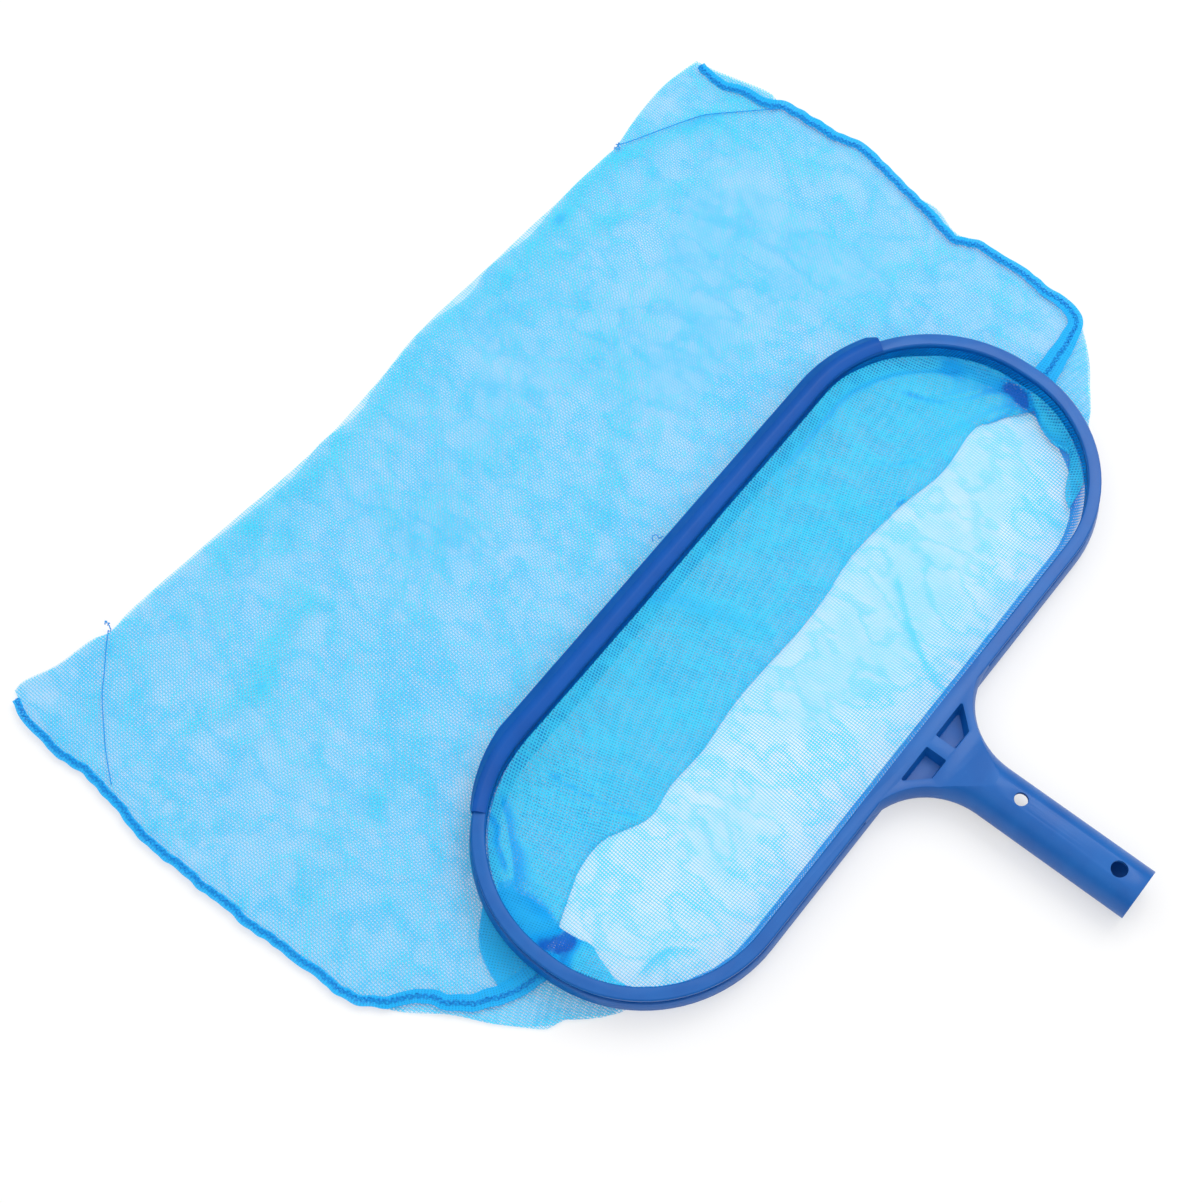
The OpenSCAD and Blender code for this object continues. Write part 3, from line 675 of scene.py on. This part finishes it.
def tube(shape, line, radius, sides):
    """A thread along a line of points, with closed ends, in mm from the hoop's middle and the floor."""
    line = np.array(line, float)
    ahead = np.gradient(line, axis=0)
    ahead /= np.linalg.norm(ahead, axis=1)[:, None] + 1e-12
    side = np.cross(ahead, (0, 0, 1.0))
    side /= np.linalg.norm(side, axis=1)[:, None] + 1e-9
    up = np.cross(side, ahead)
    rings = []
    for p, a, b in zip(line, side, up):
        rings.append([shape.verts.new((p + radius * (math.cos(t) * a + math.sin(t) * b)) * MM + (0, HOOP_Y, FLOOR_Z))
                      for t in np.linspace(0, 2 * math.pi, sides, endpoint=False)])
    for one, two in zip(rings[:-1], rings[1:]):
        for k in range(sides):
            shape.faces.new((one[k], one[(k + 1) % sides], two[(k + 1) % sides], two[k])).smooth = True
    shape.faces.new(rings[0][::-1])
    shape.faces.new(rings[-1])


def leftwards(line):
    """At each point of a line, the direction square to it on its left."""
    ahead = np.gradient(line, axis=0)
    ahead /= np.linalg.norm(ahead, axis=1)[:, None]
    return np.stack([-ahead[:, 1], ahead[:, 0]], axis=1)


seams = []
for title, node, line, edge_in, edge_out in (
        ("side_seam_left_edge", "side_seam_left",
         [(-275, 308), (-280, 294), (-282, 279), (-282, 261), (-281, 248), (-284, 228), (-288, 205), (-289, 186),
          (-289, 130), (-287, 90), (-287, 77), (-285, 61), (-276, 47), (-268, 41), (-262, 32), (-258, 23), (-252, 15),
          (-244, 8), (-236, 2), (-229, 0), (-219, -4), (-209, -10)],
         (1.6, 2, 2, 2, 2, 2.5, 5, 9), (2.5, 3, 3, 3, 3, 3.2, 4, 4)),
        ("side_seam_right_edge", "side_seam_right",
         [(276, 275), (273, 259), (277, 244), (279, 226), (283, 217), (285, 195), (285, 180), (288, 164), (286, 151),
          (280, 127), (275, 105), (270, 86), (275, 71), (276, 55), (275, 29), (273, 8), (268, -2), (255, -6),
          (232, -8), (216, -11)],
         (4, 5, 5, 4, 4, 4, 4, 8), (1.6, 1.6, 1.6, 1.6, 1.6, 2, 5, 8))):
    length = np.linalg.norm(np.diff(np.array(line, float), axis=0), axis=1).sum()
    line = smooth_line(line, int(length / BAND_STEP))
    share = np.linspace(0, 1, len(line))
    inside, outside = (np.interp(share, np.linspace(0, 1, len(widths)), widths)[:, None]
                       for widths in (edge_in, edge_out))
    left = leftwards(line)
    wobble = (waves(line, 41, (26, 11)) - 0.5)[:, None] * WANDER
    band = bmesh.new()
    band_uv = band.loops.layers.uv.new("threads")
    band_crowd_and_shade = band.verts.layers.float.new("crowd_and_shade")
    for layer in range(2):
        rows = []
        for t in np.linspace(0, 1, BAND_ROWS):
            row = line + left * (inside * (1 - t) - outside * t) + left * wobble
            height = bed(row) + SEAM_LIFT + LAYER_GAP * layer + CROWN * math.sin(math.pi * t)
            rows.append([band.verts.new((x * MM, y * MM + HOOP_Y, FLOOR_Z + h * MM)) for (x, y), h in zip(row, height)])
        for j in range(BAND_ROWS - 1):
            for i in range(len(line) - 1):
                face = band.faces.new((rows[j][i], rows[j][i + 1], rows[j + 1][i + 1], rows[j + 1][i]))
                face.smooth = True
                for loop, (a, b) in zip(face.loops, ((i, j), (i + 1, j), (i + 1, j + 1), (i, j + 1))):
                    loop[band_uv].uv = (a * BAND_STEP / PITCH + layer * 0.5, b * 1.3 + layer * 0.4)
    for corner in band.verts:
        corner[band_crowd_and_shade] = BAND_CROWD_AND_SHADE
    edge = finished(title, band, sky_mesh)
    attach(edge, "root")
    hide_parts(node)
    path = even(line + left * wobble, int(length / STITCH))
    out = leftwards(path)
    step = np.arange(len(path))
    high = bed(path) + SEAM_LIFT + 1.1
    pick = np.random.default_rng(len(path))
    swing = np.where(step % 2 == 0, 1.3, -1.3) * pick.uniform(0.55, 1.2, len(path))
    binding = bmesh.new()
    tube(binding, np.column_stack([path + out * swing[:, None], high + 0.25 * (step % 2)]), radius=0.24, sides=4)
    for gap, beat in ((0.7, 0.0), (-0.7, 2.0)):
        chain = path + out * (gap + 0.75 * np.sin(step * 1.9 + beat))[:, None]
        tube(binding, np.column_stack([chain, high + 0.5 * np.sin(step * 2.3 + beat)]), radius=0.20, sides=4)
    thread = finished(title + "_thread", binding, deep_thread)
    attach(thread, "root")
    seams += [edge, thread]

# ---- Corner seams -------------------------------------------------------------------------------
# A line of stitches across each bottom corner boxes the bag. It is sewn with the same deep thread, and
# its loose ends are knotted at the bottom fold.
STITCH_LIFT = 3.4                       # above the lowest cloth, in mm
for title, line, node in (
        ("corner_stitch_left",
         [(-216, 297), (-224, 291), (-235, 282), (-246, 273), (-262, 256), (-269, 248), (-279, 235)],
         "corner_seam_left"),
        ("corner_stitch_right",
         [(200, 278), (206, 274), (223, 265), (242, 255), (251, 249), (265, 235), (279, 220)],
         "corner_seam_right")):
    path = smooth_line(line, 90)
    step = np.arange(len(path))
    stitches = bmesh.new()
    height = bed(path) + STITCH_LIFT + 0.25 * np.sin(step * 2.1)
    tube(stitches, np.column_stack([path, height]), radius=0.30, sides=5)
    pick = np.random.default_rng(len(title))
    knot = path[0] + np.cumsum(pick.normal(0, 0.9, (26, 2)), axis=0) * 0.7
    height = bed(knot) + STITCH_LIFT + pick.uniform(0, 1.0, 26)
    tube(stitches, np.column_stack([knot, height]), radius=0.32, sides=4)
    stitch = finished(title, stitches, deep_thread)
    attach(stitch, "root")
    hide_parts(node)

# ---- Loose thread -------------------------------------------------------------------------------
# A short end of the same thread, cut off in sewing and left on the bag. It lies curled on the far
# panel, beside the lip strip.
curl = smooth_line([(8, 101), (10, 103), (12, 101.5), (11, 99), (13.5, 98)], 24)
loose_end = bmesh.new()
height = bed(curl) + 3.2 + np.linspace(0, 1.2, 24)
tube(loose_end, np.column_stack([curl, height]), radius=0.30, sides=4)
loose_thread = finished("loose_thread", loose_end, deep_thread)
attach(loose_thread, "root")
